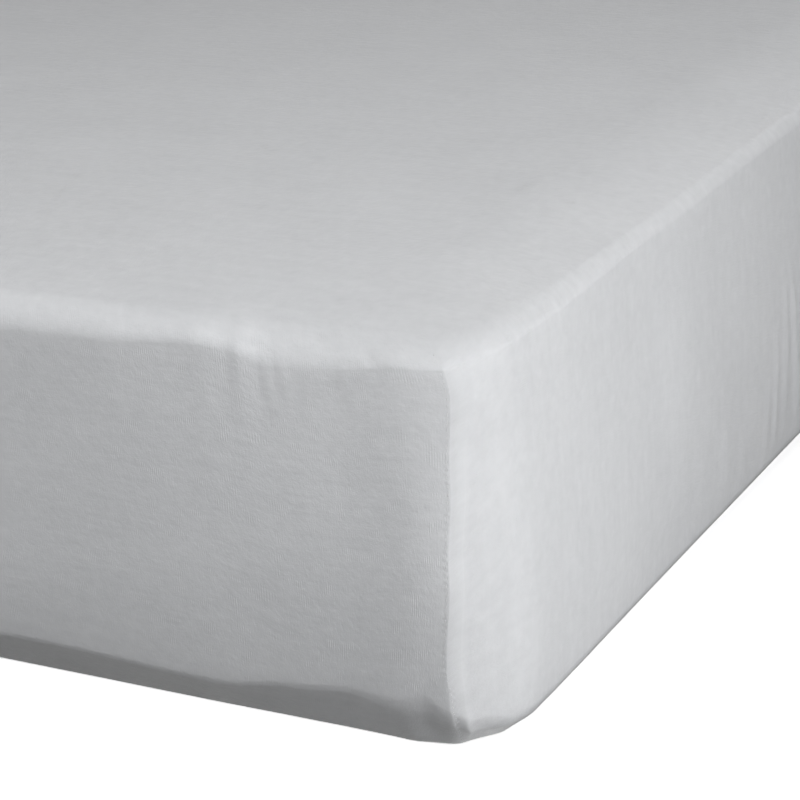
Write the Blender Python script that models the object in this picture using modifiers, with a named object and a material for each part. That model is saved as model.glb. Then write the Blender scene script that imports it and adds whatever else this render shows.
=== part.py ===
"""A fitted sheet on a plain mattress. The origin is under the middle, +Y runs along the bed.

The corner at +X, -Y is the one seen closest. "Run" is the distance round the foot of the walls from
that corner's sharp point, below zero along the short side at -Y and the long side at -X beyond it,
above zero along the long side at +X and the short side at +Y beyond it.
"""

import bisect
import math
from typing import NamedTuple

import bmesh
import bpy

# Driving sizes, in metres.
WIDTH = 1.40
LENGTH = 2.00
HEIGHT = 0.2405
CLOTH = 0.0015
HALF_ROUND = WIDTH + LENGTH

# The rounded corners, in plan: how far they reach along each side, how full they are beyond the seam, how
# they tighten as the cloth goes in, and how much wider the drawn-in hem rounds them than the walls do.
CORNER_X = 0.052
CORNER_Y = 0.062
CORNER_FULL = 1.25
CORNER_TIGHTENS = 0.12
CORNER_LEAST = 0.30
TUCK_CORNER = 1.15
HEM_CORNER = 1.70

# Rows of the cloth: how far in from the walls on top, the turn over the top edge, down the walls,
# the turn at the lower edge, the turn to the floor, and how far in underneath.
TOP_ROWS = (0.450, 0.300, 0.190, 0.110, 0.068)
EDGE_TURNS = (90, 66, 43, 21, 0)
WALL_ROWS = (0.16, 0.38, 0.62, 0.84)
BEND_TURNS = (0.0, 0.5, 1.0)
FOOT_R = 0.006
TUCK = 0.062
HEM = 0.100
HEM_WAVE = 0.005
HEM_WAVE_LENGTH = 0.21

# The top edge and the wall under it, along the run. The wall leans back by this power of the height above
# its belly, and its belly and lean fade out over this much of the top.
TOP_EDGE = (
    # run, radius down the wall, reach over the top, wall's belly, belly's height, how far the top leans back
    (-3.400, 0.036, 0.046, 0.006, 0.110, 0.0085),
    (-3.250, 0.022, 0.028, 0.006, 0.090, 0.0080),
    (-1.550, 0.022, 0.028, 0.006, 0.090, 0.0080),
    (-1.400, 0.036, 0.046, 0.006, 0.110, 0.0085),
    (-1.250, 0.024, 0.026, 0.005, 0.090, 0.0020),
    (-0.320, 0.024, 0.025, 0.005, 0.090, 0.0010),
    (-0.230, 0.020, 0.028, 0.005, 0.095, 0.0015),
    (-0.165, 0.021, 0.031, 0.005, 0.100, 0.0040),
    (-0.120, 0.030, 0.036, 0.005, 0.105, 0.0060),
    (-0.082, 0.030, 0.042, 0.005, 0.110, 0.0075),
    (-0.040, 0.034, 0.052, 0.006, 0.120, 0.0085),
    (0.000, 0.032, 0.052, 0.006, 0.110, 0.0085),
    (0.050, 0.026, 0.046, 0.005, 0.080, 0.0080),
    (0.120, 0.022, 0.032, 0.005, 0.075, 0.0080),
    (0.220, 0.020, 0.030, 0.005, 0.080, 0.0080),
    (0.280, 0.020, 0.030, 0.007, 0.110, 0.0085),
    (0.500, 0.019, 0.028, 0.007, 0.110, 0.0085),
    (1.850, 0.020, 0.028, 0.006, 0.090, 0.0080),
    (2.000, 0.036, 0.046, 0.006, 0.110, 0.0085),
    (2.150, 0.024, 0.026, 0.005, 0.090, 0.0020),
    (3.250, 0.024, 0.026, 0.005, 0.090, 0.0020),
    (3.400, 0.036, 0.046, 0.006, 0.110, 0.0085),
)
LEAN_POWER = 1.5
EDGE_FADE = 0.2

# The lower edge along the run, where the wall bends and slopes in under the mattress.
LOWER_EDGE = (
    # run, height of the bend, how far in the foot starts, radius of the bend
    (-3.400, 0.021, 0.016, 0.009),
    (-3.330, 0.012, 0.018, 0.012),
    (-1.470, 0.012, 0.018, 0.012),
    (-1.400, 0.023, 0.017, 0.009),
    (-1.340, 0.031, 0.021, 0.007),
    (-0.700, 0.029, 0.022, 0.007),
    (-0.283, 0.030, 0.022, 0.008),
    (-0.168, 0.026, 0.022, 0.010),
    (-0.120, 0.033, 0.022, 0.012),
    (-0.084, 0.037, 0.022, 0.014),
    (-0.062, 0.033, 0.022, 0.020),
    (-0.035, 0.038, 0.021, 0.044),
    (-0.012, 0.036, 0.018, 0.050),
    (0.024, 0.034, 0.016, 0.046),
    (0.045, 0.020, 0.0135, 0.024),
    (0.062, 0.014, 0.0155, 0.018),
    (0.085, 0.012, 0.018, 0.014),
    (1.940, 0.012, 0.018, 0.012),
    (2.000, 0.022, 0.017, 0.009),
    (2.060, 0.030, 0.021, 0.007),
    (2.700, 0.028, 0.022, 0.007),
    (3.340, 0.029, 0.021, 0.007),
    (3.400, 0.021, 0.016, 0.009),
)

# Upright folds in the walls. The lean is how far the fold's top lies back towards the near corner.
FOLDS = (
    # run, half width, how far it stands out, lowest, highest, lean
    (0.408, 0.009, 0.0014, 0.020, 0.095, 0.000),
    (0.430, 0.010, 0.0018, 0.022, 0.140, 0.006),
    (0.468, 0.012, 0.0026, 0.020, 0.168, 0.024),
    (0.512, 0.010, 0.0018, 0.020, 0.140, 0.012),
    (0.560, 0.014, 0.0022, 0.020, 0.150, 0.010),
    (0.760, 0.020, 0.0015, 0.020, 0.170, -0.010),
    (1.240, 0.018, 0.0024, 0.020, 0.150, 0.012),
    (1.590, 0.016, 0.0018, 0.020, 0.120, -0.008),
    (2.420, 0.018, 0.0021, 0.035, 0.150, 0.010),
    (2.900, 0.020, 0.0028, 0.035, 0.130, -0.010),
    (-0.620, 0.022, 0.0026, 0.040, 0.150, -0.012),
    (-1.060, 0.018, 0.0018, 0.040, 0.130, 0.008),
    (-1.780, 0.016, 0.0021, 0.020, 0.150, 0.010),
    (-2.160, 0.020, 0.0028, 0.020, 0.160, -0.012),
    (-2.820, 0.018, 0.0024, 0.020, 0.140, 0.010),
)

# Corner seams: where each lies at each height, and the raised edge beside it. A turn is the cloth's, in plan,
# away from the short side's face: where it reaches the seam, the crease along it, and the raised edge.
SEAM = (
    # height, how far the seam lies from the long side's face, how far from the short side's face
    (0.004, 0.0290, 0.0062),
    (0.030, 0.0275, 0.0050),
    (0.060, 0.0282, 0.0038),
    (0.120, 0.0245, 0.0036),
    (0.170, 0.0195, 0.0040),
    (0.215, 0.0145, 0.0045),
)
SEAM_TURN = math.radians(14)
SEAM_CREASE = math.radians(32)
SEAM_FADES_LOW = 0.205
SEAM_FADES_HIGH = 0.232
SEAM_EDGE = 0.0090
SEAM_EDGE_TURN = math.radians(51)
SEAM_STEPS = (
    # step round the corner (1 is the seam, 2 the end of its raised edge), lift
    (0.00, 0.0000),
    (0.45, 0.0000),
    (0.80, 0.0000),
    (1.00, 0.0000),
    (1.40, 0.0003),
    (1.85, 0.0005),
    (2.10, 0.0002),
    (2.30, 0.0000),
    (2.52, 0.0000),
    (2.76, 0.0000),
    (3.00, 0.0000),
)

# Stations along the short and the long sides: how far apart plain ones lie, how close two may come, how
# far a plain one stays from the others, and the part of a corner's step that shows which way it faces.
SHORT_SPACING = 0.16
LONG_SPACING = 0.22
LEAST_SPACING = 0.010
PLAIN_CLEARS = 0.030
STEP_NEARBY = 0.05

# Low swells of the cloth over the top, outside its flat middle.
TOP_SWELL = 0.0010
SWELL_LENGTH_X = 0.31
SWELL_LENGTH_Y = 0.23

# The mattress under the cloth, and which of the cloth's rows and steps it follows.
MATTRESS_IN = 0.0038
MATTRESS_BELOW_TOP = 0.0019
MATTRESS_ABOVE_FLOOR = 0.0019
MATTRESS_FIRST_ROW = len(TOP_ROWS) - 1
MATTRESS_LAST_ROW = -2
MATTRESS_STEPS = (0.0, 0.45, 1.0, 2.0, 2.3, 2.52, 2.76, 3.0)

CLOTH_COLOUR = (0.52, 0.53, 0.545, 1.0)
MATTRESS_COLOUR = (0.78, 0.77, 0.74, 1.0)


def clamp(value):
    return min(1.0, max(0.0, value))


def soft_step(value):
    value = clamp(value)
    return value * value * (3 - 2 * value)


def mix(low, high, share):
    return low + (high - low) * share


def between(table, key):
    """The columns of a table whose first column rises, after that column, read at the key."""
    keys = [row[0] for row in table]
    after = min(max(bisect.bisect_right(keys, key), 1), len(table) - 1)
    low, high = table[after - 1], table[after]
    share = soft_step((key - low[0]) / (high[0] - low[0]))
    return [mix(a, b, share) for a, b in zip(low[1:], high[1:])]


def hermite(start, leaving, end, arriving, share):
    """A smooth curve's value between a start and an end, from its pulls at both."""
    square, cube = share**2, share**3
    held = start * (2 * cube - 3 * square + 1) + end * (3 * square - 2 * cube)
    return held + leaving * (cube - 2 * square + share) + arriving * (cube - square)


def corner_curve(step, z):
    """How far a step round a corner lies, at this height, from the faces of its long and its short side."""
    across, along = between(SEAM, z)
    edge_across = across - SEAM_EDGE * math.cos(SEAM_EDGE_TURN)
    edge_along = along + SEAM_EDGE * math.sin(SEAM_EDGE_TURN)
    edge_turn = math.atan2(CORNER_Y - edge_along, 2 * edge_across)
    crease = SEAM_CREASE * (1 - soft_step((z - SEAM_FADES_LOW) / (SEAM_FADES_HIGH - SEAM_FADES_LOW)))
    knots = (
        # place, the turn that the cloth arrives with and the one that it leaves with
        ((CORNER_X, 0.0), 0.0, 0.0),
        ((across, along), SEAM_TURN, SEAM_TURN + crease),
        ((edge_across, edge_along), edge_turn, edge_turn),
        ((0.0, CORNER_Y), math.pi / 2, math.pi / 2),
    )
    index = min(int(step), 2)
    (start, _, leaves), (end, arrives, _) = knots[index : index + 2]
    pull = math.dist(start, end) * (CORNER_FULL if index == 2 else 1.0)
    leaving = (-pull * math.cos(leaves), pull * math.sin(leaves))
    arriving = (-pull * math.cos(arrives), pull * math.sin(arrives))
    return [hermite(start[i], leaving[i], end[i], arriving[i], step - index) for i in (0, 1)]


class Row(NamedTuple):
    """One row round the cloth: how it faces is 0 on a wall, a right angle up on top and down below."""

    inset: float
    set_in: float
    z: float
    faces: float
    stands: float
    corner: float


class Station:
    """One line down the cloth, from the middle of the top to the hem."""

    def __init__(self, run, across, along, step=None, lift=0.0):
        self.run = run
        self.across = across
        self.along = along
        self.step = step
        self.lift = lift

    def from_faces(self, z):
        if self.step is None:
            return (CORNER_X, 0.0) if abs(self.along) == 1 else (0.0, CORNER_Y)
        return corner_curve(self.step, z)

    def place(self, row):
        from_long, from_short = self.from_faces(row.z)
        x = self.across * (WIDTH / 2 - row.set_in - from_long * row.corner)
        y = self.along * (LENGTH / 2 - row.set_in - from_short * row.corner)
        return x, y

    def normal(self, z):
        """Which way the cloth faces in plan."""
        if self.step is None:
            return (0.0, self.along) if abs(self.along) == 1 else (self.across, 0.0)
        before = corner_curve(max(0.0, self.step - STEP_NEARBY), z)
        after = corner_curve(min(3.0, self.step + STEP_NEARBY), z)
        size = math.dist(before, after)
        return self.across * (after[1] - before[1]) / size, self.along * (before[0] - after[0]) / size


def side_runs(start, end, spacing):
    """Runs along one side: evenly spaced, at the tables' own runs, and across every fold."""
    fixed = [row[0] for row in TOP_EDGE + LOWER_EDGE]
    for run, half, _, _, _, lean in FOLDS:
        low, high = sorted((run, run - lean))
        fixed += [low - half, low, (low + high) / 2, high, high + half]
    fixed = [run for run in fixed if start + LEAST_SPACING < run < end - LEAST_SPACING]
    count = round((end - start) / spacing)
    plain = [mix(start, end, (i + 1) / (count + 1)) for i in range(count)]
    kept = [run for run in plain if all(abs(run - place) > PLAIN_CLEARS for place in fixed)]
    runs = []
    for run in sorted(kept + fixed):
        if not runs or run - runs[-1] >= LEAST_SPACING:
            runs.append(run)
    return runs


def corner_stations(across, along, run, short_first):
    steps = SEAM_STEPS if short_first else SEAM_STEPS[::-1]
    stations = []
    for step, lift in steps:
        share = step / SEAM_STEPS[-1][0]
        reach = mix(-CORNER_X, CORNER_Y, share) if short_first else mix(CORNER_X, -CORNER_Y, share)
        stations.append(Station(run + reach, across, along, step, lift))
    return stations


def all_stations():
    """Round the mattress, anticlockwise from above, starting along the short side at -Y."""
    half_x = WIDTH / 2 - CORNER_X
    half_y = LENGTH / 2 - CORNER_Y
    stations = []
    for run in side_runs(-WIDTH + CORNER_X, -CORNER_X, SHORT_SPACING):
        stations.append(Station(run, (run + WIDTH / 2) / half_x, -1))
    stations += corner_stations(1, -1, 0.0, True)
    for run in side_runs(CORNER_Y, LENGTH - CORNER_Y, LONG_SPACING):
        stations.append(Station(run, 1, (run - LENGTH / 2) / half_y))
    stations += corner_stations(1, 1, LENGTH, False)
    for run in side_runs(LENGTH + CORNER_X, HALF_ROUND - CORNER_X, SHORT_SPACING):
        stations.append(Station(run, (LENGTH + WIDTH / 2 - run) / half_x, 1))
    stations += corner_stations(-1, 1, -HALF_ROUND, True)
    for run in side_runs(-HALF_ROUND + CORNER_Y, -WIDTH - CORNER_Y, LONG_SPACING):
        stations.append(Station(run, -1, (-run - WIDTH - LENGTH / 2) / half_y))
    stations += corner_stations(-1, -1, -WIDTH, False)
    return stations


def tightened(inset):
    return max(CORNER_LEAST, 1 - inset / CORNER_TIGHTENS)


def profile(run):
    """The rows down the cloth at this run, from the flat middle of the top to the hem underneath."""
    edge_r, reach, belly, belly_z, lean = between(TOP_EDGE, run)
    bend_z, foot_in, bend_r = between(LOWER_EDGE, run)
    slope = math.atan2(foot_in, bend_z)
    bend_top = bend_z + bend_r * math.tan(slope / 2)
    foot_reach = FOOT_R * math.tan((math.pi / 2 - slope) / 2)
    rows = []

    def add(inset, z, faces, stands):
        below = clamp((belly_z - z) / (belly_z - bend_z))
        above = clamp((z - belly_z) / (HEIGHT - belly_z))
        stands_out = belly * (1 - below**2) - lean * above**LEAN_POWER
        set_in = inset - stands_out * (1 - soft_step((inset - reach) / EDGE_FADE))
        rows.append(Row(inset, set_in, z, faces, stands, tightened(inset)))

    for inset in TOP_ROWS:
        add(inset, HEIGHT, math.pi / 2, 0.0)
    for turn in map(math.radians, EDGE_TURNS):
        add(reach * (1 - math.cos(turn)), HEIGHT - edge_r * (1 - math.sin(turn)), turn, math.cos(turn))
    for share in WALL_ROWS:
        add(0.0, mix(HEIGHT - edge_r, bend_top, share), 0.0, 1.0)
    for share in BEND_TURNS:
        turn = share * slope
        add(bend_r * (1 - math.cos(turn)), bend_top - bend_r * math.sin(turn), -turn, 1 - 0.4 * share)
    for turn in (slope, math.pi / 2):
        add(foot_in + foot_reach - FOOT_R * math.cos(turn), FOOT_R * (1 - math.sin(turn)), -turn, 0.0)
    hem = HEM + HEM_WAVE * math.sin(math.tau * run / HEM_WAVE_LENGTH)
    rows.append(Row(TUCK, TUCK, 0.0, -math.pi / 2, 0.0, TUCK_CORNER))
    rows.append(Row(hem, hem, 0.0, -math.pi / 2, 0.0, HEM_CORNER))
    return rows


def fold_stand(run, z):
    """How far the folds stand out of the wall here: the highest one that covers the place."""
    tallest = 0.0
    for middle, half, stands, low, high, lean in FOLDS:
        rise = clamp((z - low) / (high - low))
        away = abs(run - middle + lean * rise) / half
        if away < 1 and low <= z <= high:
            ends = soft_step(3 * rise + 0.25) * soft_step(2.5 * (1 - rise))
            tallest = max(tallest, stands * ends * (1 - soft_step(away)))
    return tallest


def top_swell(x, y, inset):
    """Low swells that fade out at the flat middle of the top and at its edge."""
    fade = soft_step((TOP_ROWS[0] - inset) / 0.2) * soft_step(inset / TOP_ROWS[-1])
    wave = math.sin(math.tau * (x / SWELL_LENGTH_X + 0.3 * y)) + math.sin(math.tau * y / SWELL_LENGTH_Y)
    return TOP_SWELL * fade * max(0.0, wave) / 2


def cloth_points(station):
    points = []
    for row in profile(station.run):
        x, y = station.place(row)
        face_x, face_y = station.normal(row.z)
        stand = row.stands * (fold_stand(station.run, row.z) + station.lift)
        x += face_x * math.cos(row.faces) * stand
        y += face_y * math.cos(row.faces) * stand
        z = row.z + math.sin(row.faces) * stand
        if row.inset in TOP_ROWS:
            z += top_swell(x, y, row.inset)
        points.append((x, y, z))
    return points


def mattress_points(station):
    """The cloth's rows from its top edge to its foot, further in and a little below and above."""
    points = []
    for row in profile(station.run)[MATTRESS_FIRST_ROW:MATTRESS_LAST_ROW]:
        x, y = station.place(row._replace(set_in=row.set_in + MATTRESS_IN))
        points.append((x, y, mix(MATTRESS_ABOVE_FLOOR, HEIGHT - MATTRESS_BELOW_TOP, row.z / HEIGHT)))
    return points


def loft(columns):
    """A surface through the columns of points all the way round, closed over the middle of the top."""
    surface = bmesh.new()
    columns = [[surface.verts.new(point) for point in column] for column in columns]
    for left, right in zip(columns, columns[1:] + columns[:1]):
        for row in range(len(left) - 1):
            surface.faces.new((left[row], left[row + 1], right[row + 1], right[row]))
    surface.faces.new([column[0] for column in columns])
    return surface, columns


def make_object(name, surface, sharp, colour, roughness, collection):
    surface.normal_update()
    mesh = bpy.data.meshes.new(name)
    surface.to_mesh(mesh)
    surface.free()
    mesh.shade_smooth()
    mesh.set_sharp_from_angle(angle=math.radians(sharp))
    material = bpy.data.materials.new(name)
    material.use_nodes = True
    shader = material.node_tree.nodes["Principled BSDF"]
    shader.inputs["Base Color"].default_value = colour
    shader.inputs["Roughness"].default_value = roughness
    shader.inputs["Metallic"].default_value = 0.0
    mesh.materials.append(material)
    made = bpy.data.objects.new(name, mesh)
    collection.objects.link(made)
    return made


def fitted_sheet(collection):
    """The cloth: an open surface lofted through the stations, then given its thickness inwards."""
    surface, _ = loft([cloth_points(station) for station in all_stations()])
    sheet = make_object("fitted_sheet", surface, 50, CLOTH_COLOUR, 0.9, collection)
    thickness = sheet.modifiers.new("thickness", "SOLIDIFY")
    thickness.thickness = CLOTH
    thickness.offset = -1
    thickness.use_even_offset = True


def mattress(collection):
    """A plain block that fills the cloth, clear of it at every edge."""
    stations = [station for station in all_stations() if station.step in (None, *MATTRESS_STEPS)]
    surface, columns = loft([mattress_points(station) for station in stations])
    surface.faces.new([column[-1] for column in reversed(columns)])
    make_object("mattress", surface, 40, MATTRESS_COLOUR, 0.85, collection)


def main():
    for old in list(bpy.data.objects):
        bpy.data.objects.remove(old, do_unlink=True)
    collection = bpy.data.collections.new("fitted sheet on mattress")
    bpy.context.scene.collection.children.link(collection)
    fitted_sheet(collection)
    mattress(collection)


main()
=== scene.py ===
"""The fitted sheet on its mattress: the cloth with its seams, stitches and hem, in soft studio light.

A "run" is the distance round the foot of the walls from the sharp point of the corner at +X, -Y, which the
photo shows: below zero to the left of it and above zero to its right. Stations follow each other round the
sheet. Rows follow each other down it: over the top, its edge, the wall, the bend and the foot to the hem.
All lengths are in metres.
"""

import math

import bpy
import numpy as np
from mathutils import Matrix, Vector, geometry, noise


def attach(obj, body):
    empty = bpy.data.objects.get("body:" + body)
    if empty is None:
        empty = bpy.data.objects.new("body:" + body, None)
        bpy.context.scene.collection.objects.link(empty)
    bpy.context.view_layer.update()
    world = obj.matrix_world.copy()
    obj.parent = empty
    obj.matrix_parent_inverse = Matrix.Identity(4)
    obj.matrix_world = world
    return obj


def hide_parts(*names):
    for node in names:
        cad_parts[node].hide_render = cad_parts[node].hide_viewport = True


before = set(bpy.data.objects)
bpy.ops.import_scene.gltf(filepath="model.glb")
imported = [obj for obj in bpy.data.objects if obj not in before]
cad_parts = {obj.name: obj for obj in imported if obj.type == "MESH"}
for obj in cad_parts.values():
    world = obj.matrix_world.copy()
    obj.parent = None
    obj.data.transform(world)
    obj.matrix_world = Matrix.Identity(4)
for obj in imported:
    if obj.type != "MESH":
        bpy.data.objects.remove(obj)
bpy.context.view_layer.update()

WIDTH = 1.40
LENGTH = 2.00
HEIGHT = 0.2405
HALF_ROUND = WIDTH + LENGTH

# ------------ camera

NEAR_CORNER = Vector((WIDTH / 2, -LENGTH / 2, 0.014))
CAMERA_FROM_CORNER = Vector((0.5820, -1.1415, 0.7086))
CAMERA_RIGHT = Vector((0.8862, 0.4600, -0.0554))
CAMERA_FORWARD = Vector((-0.4467, 0.8165, -0.3659))
CAMERA_LENS = 123.75


def make_camera():
    camera = bpy.data.objects.new("camera", bpy.data.cameras.new("camera"))
    bpy.context.scene.collection.objects.link(camera)
    camera.data.sensor_width = 36
    camera.data.lens = CAMERA_LENS
    camera.data.clip_start = 0.05
    forward = CAMERA_FORWARD.normalized()
    up = CAMERA_RIGHT.cross(forward).normalized()
    right = forward.cross(up)
    camera.matrix_world = Matrix.Translation(NEAR_CORNER + CAMERA_FROM_CORNER) @ Matrix(
        (right, up, -forward)
    ).transposed().to_4x4()
    bpy.context.scene.camera = camera


# ------------ the sheet's sizes

# How far a corner's rounding reaches along its short side and along its long side.
CORNER_X = 0.052
CORNER_Y = 0.062
# The rounding shrinks on the way in over the top, by all of it over this length, down to this share of it.
CORNER_TIGHTENS = 0.12
CORNER_LEAST = 0.30
# Its share at the hem, where the elastic cuts the corner.
HEM_CORNER = 1.70
# The radius at the foot, how far in from the wall the hem lies, and the hem's slow wave.
FOOT_R = 0.006
HEM = 0.100
HEM_WAVE = 0.005
HEM_WAVE_LENGTH = 0.21

TOP_EDGE = (
    # run, radius down the wall, reach over the top, wall's belly, belly's height, how far the top leans back
    (-3.400, 0.031, 0.038, 0.006, 0.110, 0.0085),
    (-3.250, 0.019, 0.024, 0.006, 0.090, 0.0080),
    (-1.550, 0.019, 0.024, 0.006, 0.090, 0.0080),
    (-1.400, 0.031, 0.038, 0.006, 0.110, 0.0085),
    (-1.250, 0.021, 0.024, 0.005, 0.090, 0.0020),
    (-0.320, 0.0170, 0.021, 0.005, 0.090, 0.0010),
    (-0.230, 0.0150, 0.021, 0.005, 0.095, 0.0015),
    (-0.165, 0.0110, 0.020, 0.005, 0.100, 0.0055),
    (-0.140, 0.0120, 0.021, 0.005, 0.102, 0.0085),
    (-0.120, 0.0160, 0.024, 0.005, 0.105, 0.0115),
    (-0.100, 0.0150, 0.024, 0.005, 0.108, 0.0125),
    (-0.082, 0.0125, 0.024, 0.005, 0.110, 0.0130),
    (-0.040, 0.0090, 0.022, 0.006, 0.120, 0.0135),
    (0.000, 0.0080, 0.022, 0.006, 0.110, 0.0120),
    (0.050, 0.0075, 0.017, 0.004, 0.080, 0.0090),
    (0.120, 0.0070, 0.013, 0.003, 0.075, 0.0080),
    (0.220, 0.0060, 0.009, 0.003, 0.080, 0.0080),
    (0.280, 0.0060, 0.009, 0.005, 0.110, 0.0085),
    (0.500, 0.0060, 0.009, 0.006, 0.110, 0.0085),
    (1.850, 0.017, 0.024, 0.006, 0.090, 0.0080),
    (2.000, 0.031, 0.038, 0.006, 0.110, 0.0085),
    (2.150, 0.021, 0.023, 0.005, 0.090, 0.0020),
    (3.250, 0.021, 0.023, 0.005, 0.090, 0.0020),
    (3.400, 0.031, 0.038, 0.006, 0.110, 0.0085),
)
SAG = (
    # run, how far the top sags at its edge
    (-3.400, 0.0050),
    (-3.150, 0.0030),
    (-1.650, 0.0030),
    (-1.400, 0.0050),
    (-1.150, 0.0030),
    (-0.300, 0.0035),
    (-0.165, 0.0035),
    (-0.140, 0.0055),
    (-0.120, 0.0075),
    (-0.080, 0.0080),
    (-0.040, 0.0062),
    (0.050, 0.0066),
    (0.120, 0.0092),
    (0.200, 0.0090),
    (0.500, 0.0085),
    (1.800, 0.0030),
    (2.000, 0.0050),
    (2.200, 0.0030),
    (3.200, 0.0030),
    (3.400, 0.0050),
)
# How far in from the wall the sag starts, and how its slope grows.
SAG_REACH = 0.086
SAG_POWER = 1.7
# How far in over the top the wall's belly and lean fade, and how the lean grows with the height.
STANDS_FADE = 0.2
LEAN_POWER = 1.5
# The share of the low relief that is left at the end of the bend.
BEND_RELIEF = 0.5
LOWER_EDGE = (
    # run, height of the bend, how far in the foot starts, radius of the bend
    (-3.400, 0.021, 0.016, 0.009),
    (-3.330, 0.012, 0.018, 0.012),
    (-1.470, 0.012, 0.018, 0.012),
    (-1.400, 0.023, 0.017, 0.009),
    (-1.340, 0.031, 0.021, 0.007),
    (-0.700, 0.029, 0.022, 0.007),
    (-0.283, 0.030, 0.022, 0.008),
    (-0.168, 0.026, 0.022, 0.010),
    (-0.120, 0.033, 0.022, 0.012),
    (-0.084, 0.037, 0.022, 0.014),
    (-0.062, 0.033, 0.022, 0.020),
    (-0.035, 0.036, 0.0205, 0.036),
    (-0.014, 0.025, 0.0188, 0.027),
    (0.024, 0.020, 0.0192, 0.022),
    (0.045, 0.015, 0.0160, 0.018),
    (0.062, 0.013, 0.0158, 0.016),
    (0.085, 0.012, 0.018, 0.014),
    (1.940, 0.012, 0.018, 0.012),
    (2.000, 0.022, 0.017, 0.009),
    (2.060, 0.030, 0.021, 0.007),
    (2.700, 0.028, 0.022, 0.007),
    (3.340, 0.029, 0.021, 0.007),
    (3.400, 0.021, 0.016, 0.009),
)

# Upright folds in the walls. The lean is how much lower the run is at a fold's top than at its foot.
FOLDS = (
    # run, half width, stands out, lowest, highest, lean
    # folds in the right wall
    (0.408, 0.008, 0.0005, 0.020, 0.085, 0.000),
    (0.423, 0.007, 0.0007, 0.022, 0.115, 0.002),
    (0.441, 0.009, 0.0006, 0.030, 0.180, 0.004),
    (0.467, 0.009, 0.0012, 0.020, 0.165, 0.024),
    (0.478, 0.007, 0.0005, 0.018, 0.100, 0.010),
    (0.368, 0.005, 0.0006, 0.022, 0.050, 0.000),
    (0.338, 0.012, 0.0005, 0.020, 0.090, 0.006),
    (0.300, 0.014, 0.0004, 0.020, 0.080, 0.004),
    # puckers in the front wall, up over its top edge
    (-0.1080, 0.0035, 0.0006, 0.196, 0.2385, 0.004),
    (-0.1170, 0.0035, 0.0007, 0.190, 0.2385, 0.006),
    (-0.1400, 0.0050, 0.0005, 0.198, 0.2385, -0.004),
    (-0.0700, 0.0050, 0.0005, 0.200, 0.2385, 0.005),
    # folds that the photo doesn't show
    (0.512, 0.010, 0.0016, 0.020, 0.140, 0.012),
    (0.560, 0.014, 0.0021, 0.020, 0.150, 0.010),
    (0.618, 0.012, 0.0012, 0.020, 0.110, -0.006),
    (0.760, 0.020, 0.0015, 0.020, 0.170, -0.010),
    (0.930, 0.016, 0.0010, 0.020, 0.120, 0.008),
    (1.240, 0.018, 0.0024, 0.020, 0.150, 0.012),
    (1.300, 0.012, 0.0012, 0.020, 0.100, 0.006),
    (1.590, 0.016, 0.0018, 0.020, 0.120, -0.008),
    (1.790, 0.014, 0.0010, 0.020, 0.090, -0.004),
    (2.200, 0.016, 0.0010, 0.035, 0.110, 0.006),
    (2.420, 0.018, 0.0021, 0.035, 0.150, 0.010),
    (2.900, 0.020, 0.0028, 0.035, 0.130, -0.010),
    (3.150, 0.014, 0.0012, 0.035, 0.100, -0.006),
    (-0.620, 0.022, 0.0026, 0.040, 0.150, -0.012),
    (-0.840, 0.016, 0.0010, 0.040, 0.120, 0.006),
    (-1.060, 0.018, 0.0018, 0.040, 0.130, 0.008),
    (-1.620, 0.012, 0.0010, 0.020, 0.100, -0.006),
    (-1.780, 0.016, 0.0021, 0.020, 0.150, 0.010),
    (-2.160, 0.020, 0.0028, 0.020, 0.160, -0.012),
    (-2.420, 0.014, 0.0011, 0.020, 0.120, 0.006),
    (-2.820, 0.018, 0.0024, 0.020, 0.140, 0.010),
    (-3.120, 0.014, 0.0012, 0.020, 0.100, -0.006),
)
# How steeply a fold grows from its foot, what it starts from there, and how steeply it ends at its top.
FOLD_STARTS = 3.0
FOLD_START_SHARE = 0.25
FOLD_ENDS = 2.5

# Creases by the near corner: straight soft ridges, or troughs where the height is below zero.
CREASES = (
    # from u, v, to u, v on the flat cloth, half width, height
    (0.628, -1.004, 0.612, -0.975, 0.006, -0.0008),
    (0.612, -0.975, 0.655, -0.950, 0.007, 0.0006),
    (0.640, -1.006, 0.664, -1.000, 0.004, 0.0006),
    (0.655, -0.950, 0.680, -0.935, 0.006, 0.0004),
    (0.580, -1.010, 0.630, -1.002, 0.005, 0.0005),
)
# The share of a crease's length that each end takes to fade, on either side of it.
CREASE_ENDS = 0.15

# Where the seam runs down a corner, and the turn of the cloth there in degrees, seen from above.
SEAM = (
    # height, distance from the long side's face and from the short side's, turn reached, crease's turn
    (0.002, 0.0178, 0.0108, 32, 14),
    (0.012, 0.0208, 0.0092, 27, 20),
    (0.024, 0.0244, 0.0070, 20, 28),
    (0.036, 0.0268, 0.0052, 15, 32),
    (0.060, 0.0282, 0.0038, 14, 32),
    (0.120, 0.0245, 0.0036, 17, 32),
    (0.170, 0.0195, 0.0040, 18, 32),
    (0.215, 0.0150, 0.0045, 16, 34),
    (0.236, 0.0190, 0.0050, 16, 34),
)
# The heights between which the seam's crease fades into the top.
SEAM_FADES = (0.220, 0.2385)
# The flat band past the seam: its width, the share of it at the foot and the height up to which it
# narrows, and its direction.
SEAM_EDGE = 0.0090
SEAM_EDGE_FOOT = (0.70, 0.040)
SEAM_EDGE_TURN = math.radians(51)
# How full the long side's cloth rounds the corner.
CORNER_FULL = 1.25
SEAM_LIFT = (
    # step round the corner (1 is the seam, 2 the end of its raised edge), lift
    (0.00, 0.00000),
    (1.00, 0.00000),
    (1.25, 0.00020),
    (1.75, 0.00050),
    (1.95, 0.00045),
    (2.10, 0.00015),
    (2.30, 0.00000),
    (3.00, 0.00000),
)

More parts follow.
